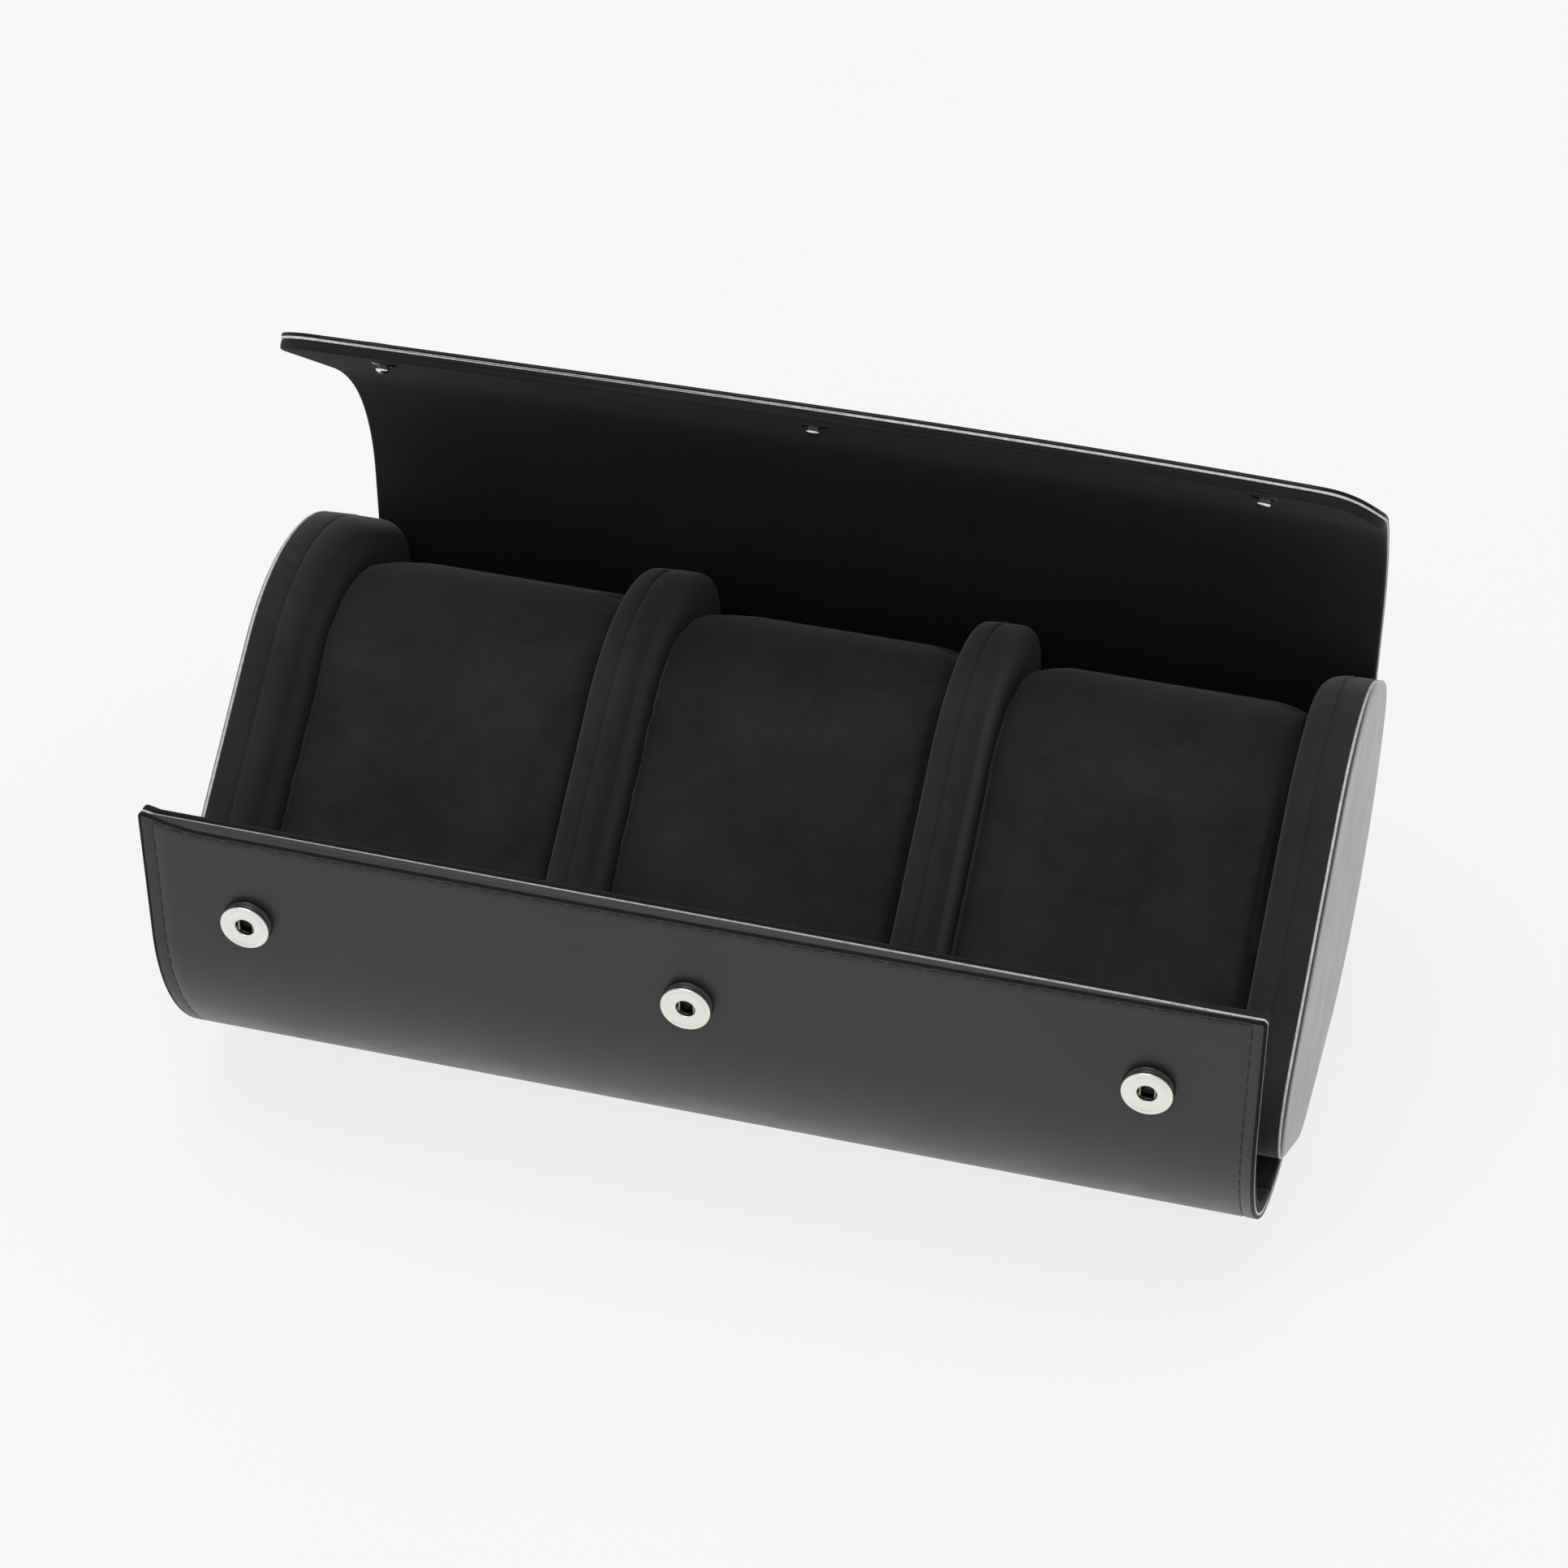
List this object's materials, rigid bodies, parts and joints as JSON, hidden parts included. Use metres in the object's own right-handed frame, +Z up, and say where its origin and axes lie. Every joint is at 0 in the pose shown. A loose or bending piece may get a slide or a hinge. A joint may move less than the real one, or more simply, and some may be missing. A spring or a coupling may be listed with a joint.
{
  "type": "watch roll",
  "caption": "Leather travel roll with a snap flap, a curling lid, padded end walls, dividers and loose watch pillows.",
  "frame": {"origin": "on the flat face that the roll rests on, at the middle of its width", "axes": "+X along the roll, -Y towards the front flap, +Y towards the lid, +Z up"},
  "size_m": [0.2246, 0.1384, 0.1351],
  "materials": {
    "leather": "satin smooth black leather",
    "panel_leather": "glossier black leather",
    "lining": "black microfibre suede",
    "pillow_suede": "black suede with a soft nap",
    "stiffener": "pressed fibre board",
    "foam": "open-cell foam",
    "nickel": "bright nickel plate",
    "cap_enamel": "black enamelled snap cap"
  },
  "bodies": {
    "case": {"divider_core_left": "stiffener", "divider_core_right": "stiffener", "divider_rim_left": "leather", "divider_rim_right": "leather", "divider_suede_left": "lining", "divider_suede_right": "lining", "end_wall_core_left": "foam", "end_wall_core_right": "foam", "end_wall_cover_left": "panel_leather", "end_wall_cover_right": "panel_leather", "end_wall_lining_left": "lining", "end_wall_lining_right": "lining", "wrap_base_board": "stiffener", "wrap_base_leather": "leather", "wrap_base_lining": "lining"},
    "flap_lower": {"flap_lower_board": "stiffener", "flap_lower_leather": "leather", "flap_lower_lining": "lining"},
    "flap_upper": {"flap_upper_board": "stiffener", "flap_upper_leather": "leather", "flap_upper_lining": "lining", "snap_eyelet_left": "nickel", "snap_eyelet_middle": "nickel", "snap_eyelet_right": "nickel", "snap_socket_left": "nickel", "snap_socket_middle": "nickel", "snap_socket_right": "nickel", "snap_spring_left": "nickel", "snap_spring_middle": "nickel", "snap_spring_right": "nickel"},
    "lid": {"lid_board": "stiffener", "lid_leather": "leather", "lid_lining": "lining", "snap_cap_left": "cap_enamel", "snap_cap_middle": "cap_enamel", "snap_cap_right": "cap_enamel", "snap_stud_left": "nickel", "snap_stud_middle": "nickel", "snap_stud_right": "nickel"},
    "pillow_left": {"pillow_core_left": "foam", "pillow_cover_left": "pillow_suede"},
    "pillow_middle": {"pillow_core_middle": "foam", "pillow_cover_middle": "pillow_suede"},
    "pillow_right": {"pillow_core_right": "foam", "pillow_cover_right": "pillow_suede"}
  },
  "joints": [
    {"name": "flap_hinge", "type": "hinge", "parent": "case", "child": "flap_lower", "pos_m": [0, -0.022, 0.00165], "axis": [1, 0, 0], "range_deg": [-12, 0]},
    {"name": "flap_fold", "type": "hinge", "parent": "flap_lower", "child": "flap_upper", "pos_m": [0, -0.06761, 0.02227], "axis": [1, 0, 0], "range_deg": [-30, 45]},
    {"name": "lid_hinge", "type": "hinge", "parent": "case", "child": "lid", "pos_m": [0, 0.05635, 0.056], "axis": [-1, 0, 0], "range_deg": [-34, 35]},
    {"name": "pillow_lift_left", "type": "slide", "parent": "case", "child": "pillow_left", "axis": [0, -0.342, 0.9397], "range_m": [0, 0.05]},
    {"name": "pillow_lift_middle", "type": "slide", "parent": "case", "child": "pillow_middle", "axis": [0, -0.342, 0.9397], "range_m": [0, 0.05]},
    {"name": "pillow_lift_right", "type": "slide", "parent": "case", "child": "pillow_right", "axis": [0, -0.342, 0.9397], "range_m": [0, 0.05]}
  ]
}
